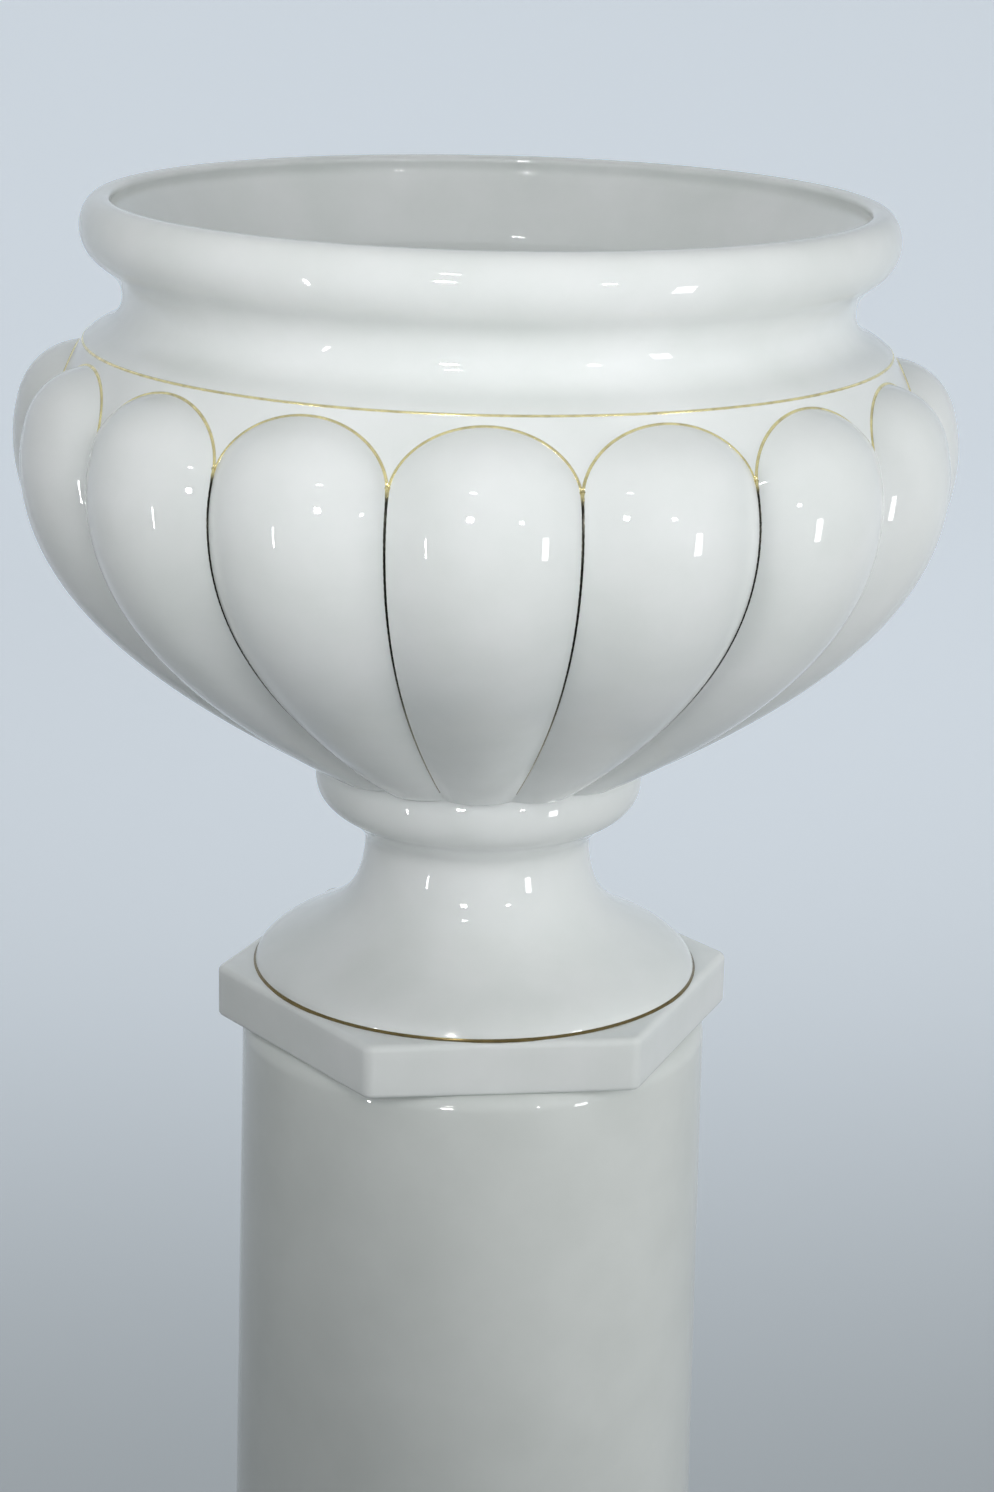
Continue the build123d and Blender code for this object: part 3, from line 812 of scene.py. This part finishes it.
def gold_material(name):
    """Fired gold: bright over the arches and pooled at the cusps, with painted reflection below
    them: near black down the creases, brown lower down and at the foot's line.
    """
    material, nodes, links, shader = new_material(name)
    place = nodes.new("ShaderNodeTexCoord").outputs["Object"]
    split = nodes.new("ShaderNodeSeparateXYZ")
    links.new(place, split.inputs["Vector"])
    # Colour by level, which paints reflection into the gold below the cusps.
    height = range_output(nodes, links, split.outputs["Z"], PLINTH_TOP, NECK_LEVEL)
    stops = [((level - PLINTH_TOP) / (NECK_LEVEL - PLINTH_TOP), colour)
             for level, colour in GOLD_WITH_PAINTED_REFLECTION_BY_LEVEL]
    tint = ramp_output(nodes, links, height, stops)
    wear = noise_output(nodes, links, place, GOLD_WEAR, 3.0)
    worn = nodes.new("ShaderNodeVectorMath")
    worn.operation = "SCALE"
    links.new(tint, worn.inputs[0])
    links.new(range_output(nodes, links, wear, 0.3, 0.6, low=0.7), worn.inputs["Scale"])
    links.new(worn.outputs["Vector"], shader.inputs["Base Color"])
    shader.inputs["Metallic"].default_value = 0.85
    shader.inputs["Roughness"].default_value = 0.2
    return material


# ---- Floor and light -----------------------------------------------------------------------------
# The floor's dark colour is painted shade for light that falls off low down. It turns to the pale
# wall only far back, and the floor is darker still just behind the object, where its glow is
# weaker.
SHADED_FLOOR_COLOUR = (0.25, 0.275, 0.29, 1)
WALL_COLOUR = (0.66, 0.72, 0.78, 1)
COLOUR_CHANGE = (0.1, 2.2)    # from how far back to how far the one colour turns to the other
FLOOR_GLOW = 0.92             # how much of its own colour the floor adds, for the eye alone,
SWEEP_GLOW = 0.60             # how much the sweep behind the object adds,
GLOW_CHANGE = (0.0, 0.45)     # and from how far back to how far the one turns to the other
BACKDROP_HALF_WIDTH = 3.5
BACKDROP_FRONT = -3.0
BACKDROP_BACK = 2.2
BACKDROP_HEIGHT = 3.0
SWEEP_RADIUS = 0.9
SWEEP_STEPS = 16


def seen_ray(nodes, links):
    """1 for what is seen, straight on or mirrored or through glass, and 0 for light that falls."""
    rays = nodes.new("ShaderNodeLightPath").outputs
    mirrored = math_node(nodes, links, "MAXIMUM", rays["Is Camera Ray"], rays["Is Glossy Ray"])
    return math_node(nodes, links, "MAXIMUM", mirrored, rays["Is Transmission Ray"])


def backdrop_material():
    """Matt paint, dark on the floor as painted shade and paler towards the wall, which can be
    looked through from behind.
    """
    material, nodes, links, shader = new_material("pale_backdrop")
    split = nodes.new("ShaderNodeSeparateXYZ")
    links.new(nodes.new("ShaderNodeTexCoord").outputs["Object"], split.inputs["Vector"])
    back = split.outputs["Y"]
    change = range_output(nodes, links, back, *COLOUR_CHANGE, kind="SMOOTHSTEP")
    tint = ramp_output(nodes, links, change, [(0.0, SHADED_FLOOR_COLOUR), (1.0, WALL_COLOUR)])
    links.new(tint, shader.inputs["Base Color"])
    shader.inputs["Roughness"].default_value = 0.9
    lift = range_output(nodes, links, back, *GLOW_CHANGE, FLOOR_GLOW, SWEEP_GLOW, "SMOOTHSTEP")
    glow = math_node(nodes, links, "MULTIPLY", seen_ray(nodes, links), lift)
    links.new(tint, shader.inputs["Emission Color"])
    links.new(glow, shader.inputs["Emission Strength"])
    clear = nodes.new("ShaderNodeBsdfTransparent")
    either = nodes.new("ShaderNodeMixShader")
    links.new(nodes.new("ShaderNodeNewGeometry").outputs["Backfacing"], either.inputs["Fac"])
    links.new(shader.outputs["BSDF"], either.inputs[1])
    links.new(clear.outputs["BSDF"], either.inputs[2])
    links.new(either.outputs["Shader"], nodes["Material Output"].inputs["Surface"])
    return material


def make_backdrop():
    """A floor that sweeps up into a wall."""
    path = [(BACKDROP_FRONT, 0.0)]
    for i in range(SWEEP_STEPS + 1):
        angle = pi / 2 * i / SWEEP_STEPS
        path.append((BACKDROP_BACK - SWEEP_RADIUS + SWEEP_RADIUS * sin(angle),
                     SWEEP_RADIUS * (1 - cos(angle))))
    path.append((BACKDROP_BACK, BACKDROP_HEIGHT))
    vertices = []
    for y, z in path:
        vertices.append((-BACKDROP_HALF_WIDTH, y, z))
        vertices.append((BACKDROP_HALF_WIDTH, y, z))
    faces = [(2 * i, 2 * i + 1, 2 * i + 3, 2 * i + 2) for i in range(len(path) - 1)]
    mesh = bpy.data.meshes.new("backdrop")
    mesh.from_pydata(vertices, [], faces)
    mesh.shade_smooth()
    mesh.materials.append(backdrop_material())
    made = bpy.data.objects.new("backdrop", mesh)
    bpy.context.scene.collection.objects.link(made)


ROOM_COLOUR = (0.50, 0.55, 0.60, 1)             # as it is seen
ROOM_LIGHT_COLOUR = (0.98, 0.99, 1.0, 1)
ROOM_LIGHT = 0.19             # the room's light from all round,
ROOM_SOFT_SPOTS = [           # and more of it around these directions, with its falloff
    ((1.0, 0.0, 0.1), 3.0, 0.58),
    ((0.0, 0.7, 0.7), 3.0, 0.25),
]
LIT_POINT = Vector((0, -0.2, 0.885))            # the front lobe's middle
# Small lamps that show in the glaze: azimuth, elevation, distance, width, height, brightness
BRIGHT_LAMPS = {
    "lamp_left": (-52, -12, 2.4, 0.06, 0.50, 40),
    "lamp_middle": (-12, 8, 2.6, 0.26, 0.13, 160),
    "lamp_small": (33, 6, 2.6, 0.18, 0.08, 100),
    "lamp_upper": (-11, 27, 2.4, 0.22, 0.05, 100),
    "lamp_right": (56, -11, 2.4, 0.26, 0.54, 15),
}
GLINT_LAMPS = ("lamp_middle", "lamp_small", "lamp_upper")    # these show in the glaze alone
# Soft lamps that don't show in it: place, size, height aimed at, spread, brightness
SOFT_LAMPS = {
    "soft_front": ((0.25, -1.0, 1.25), 0.5, 0.98, 68, 0.73),
    "soft_left": ((-0.6, -0.85, 1.35), 0.5, 1.02, 56, 0.58),
    "soft_low": ((-0.5, -1.0, 0.9), 0.4, 0.90, 60, 0.29),
    "soft_side": ((0.9, -0.4, 0.75), 0.5, 0.80, 180, 2.75),
    "soft_back": ((-0.3, 1.2, 1.7), 0.8, 0.885, 180, 3.4),
    "soft_behind": ((0.25, 1.25, 0.8), 0.5, 0.70, 80, 0.8),
}


def make_world():
    """A plain soft room, whose light is brighter from some sides and whose look is even."""
    world = bpy.data.worlds.new("soft_room")
    bpy.context.scene.world = world
    world.use_nodes = True
    nodes = world.node_tree.nodes
    links = world.node_tree.links
    direction = nodes.new("ShaderNodeTexCoord").outputs["Generated"]
    light = ROOM_LIGHT
    for towards, falloff, strength in ROOM_SOFT_SPOTS:
        facing = nodes.new("ShaderNodeVectorMath")
        facing.operation = "DOT_PRODUCT"
        facing.inputs[1].default_value = Vector(towards).normalized()
        links.new(direction, facing.inputs[0])
        share = facing.outputs["Value"]
        for operation, value in (("MAXIMUM", 0.0), ("POWER", falloff), ("MULTIPLY", strength)):
            share = math_node(nodes, links, operation, share, value)
        light = math_node(nodes, links, "ADD", share, light)
    room = nodes["Background"]
    room.inputs["Color"].default_value = ROOM_LIGHT_COLOUR
    links.new(light, room.inputs["Strength"])
    pale = nodes.new("ShaderNodeBackground")
    pale.inputs["Color"].default_value = ROOM_COLOUR
    either = nodes.new("ShaderNodeMixShader")
    links.new(seen_ray(nodes, links), either.inputs["Fac"])
    links.new(room.outputs["Background"], either.inputs[1])
    links.new(pale.outputs["Background"], either.inputs[2])
    links.new(either.outputs["Shader"], nodes["World Output"].inputs["Surface"])


def add_lamp(name, place, aim, width, height, brightness):
    """A flat lamp at a place, facing a point on the object."""
    data = bpy.data.lights.new(name, "AREA")
    data.shape = "RECTANGLE"
    data.size = width
    data.size_y = height
    data.energy = brightness * pi * width * height
    lamp = bpy.data.objects.new(name, data)
    lamp.location = place
    lamp.rotation_euler = (aim - place).to_track_quat("-Z", "Y").to_euler()
    lamp.visible_camera = False
    bpy.context.scene.collection.objects.link(lamp)
    return lamp


def add_lamps():
    """The small bright lamps by their direction, and the soft ones by their place."""
    for name, (azimuth, elevation, distance, width, height, brightness) in BRIGHT_LAMPS.items():
        side = radians(azimuth)
        rise = radians(elevation)
        towards = Vector((sin(side) * cos(rise), -cos(side) * cos(rise), sin(rise)))
        place = LIT_POINT + distance * towards
        lamp = add_lamp(name, place, LIT_POINT, width, height, brightness)
        lamp.visible_diffuse = name not in GLINT_LAMPS
    for name, (place, size, level, spread, brightness) in SOFT_LAMPS.items():
        aim = Vector((LIT_POINT.x, LIT_POINT.y, level))
        lamp = add_lamp(name, Vector(place), aim, size, size, brightness)
        lamp.data.spread = radians(spread)
        lamp.visible_glossy = False


CAMERA_PLACE = (0, -1.4575, 1.1751)
CAMERA_TURN = radians(-0.36)  # about the upright
CAMERA_RISE = radians(72.48)  # up from looking straight down
CAMERA_ROLL = radians(1.40)   # about its own line of sight
CAMERA_SENSOR = 36.0
CAMERA_LENS = 74.1
CAMERA_SHIFT = 0.0201
CAMERA_REACH = 30.0


def add_camera():
    """The camera, from in front and a little above the rim."""
    data = bpy.data.cameras.new("camera")
    data.sensor_fit = "VERTICAL"
    data.sensor_height = CAMERA_SENSOR
    data.lens = CAMERA_LENS
    data.shift_y = CAMERA_SHIFT
    data.clip_end = CAMERA_REACH
    camera = bpy.data.objects.new("camera", data)
    camera.matrix_world = (
        Matrix.Translation(CAMERA_PLACE) @ Matrix.Rotation(CAMERA_TURN, 4, "Z")
        @ Matrix.Rotation(CAMERA_RISE, 4, "X") @ Matrix.Rotation(CAMERA_ROLL, 4, "Z"))
    bpy.context.scene.collection.objects.link(camera)
    bpy.context.scene.camera = camera


# ---- The scene -----------------------------------------------------------------------------------
glaze = glaze_material("white_glaze", GLAZE_THIN, GLAZE_THICK)
# A darker copy of the white glaze, painted shade for the stand.
shaded_column_glaze = glaze_material("shaded_column_glaze", SHADED_COLUMN_GLAZE_THIN, SHADED_COLUMN_GLAZE_THICK)
gold = gold_material("fired_gold")

PIECES = [
    (make_bowl(glaze), "bowl", "urn", "white_glaze"),
    (make_foot(glaze), "urn_foot", "urn", "white_glaze"),
    (make_slab("urn_plinth_glazed", PLINTH_FLATS, STAND_TOP, PLINTH_TOP,
               PLINTH_OPENING_RADIUS, glaze, PLINTH_SEED), "urn_plinth", "urn", "white_glaze"),
    (make_column(shaded_column_glaze), "column", "stand", "white_glaze"),
    (make_slab("stand_plinth_glazed", BASE_FLATS, 0.0, BASE_TOP, BASE_OPENING_RADIUS,
               shaded_column_glaze, BASE_SEED), "stand_plinth", "stand", "white_glaze"),
    (make_lobe_gilding(gold), "lobe_gold_lines", "urn", "gilding"),
    (make_shoulder_gilding(gold), "shoulder_gold_line", "urn", "gilding"),
    (make_foot_gilding(gold), "foot_gold_line", "urn", "gilding"),
]
for piece, node, body, slot in PIECES:
    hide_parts(node)
    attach(piece, body)

make_backdrop()
make_world()
add_lamps()
add_camera()
bpy.context.scene.view_settings.view_transform = "Standard"
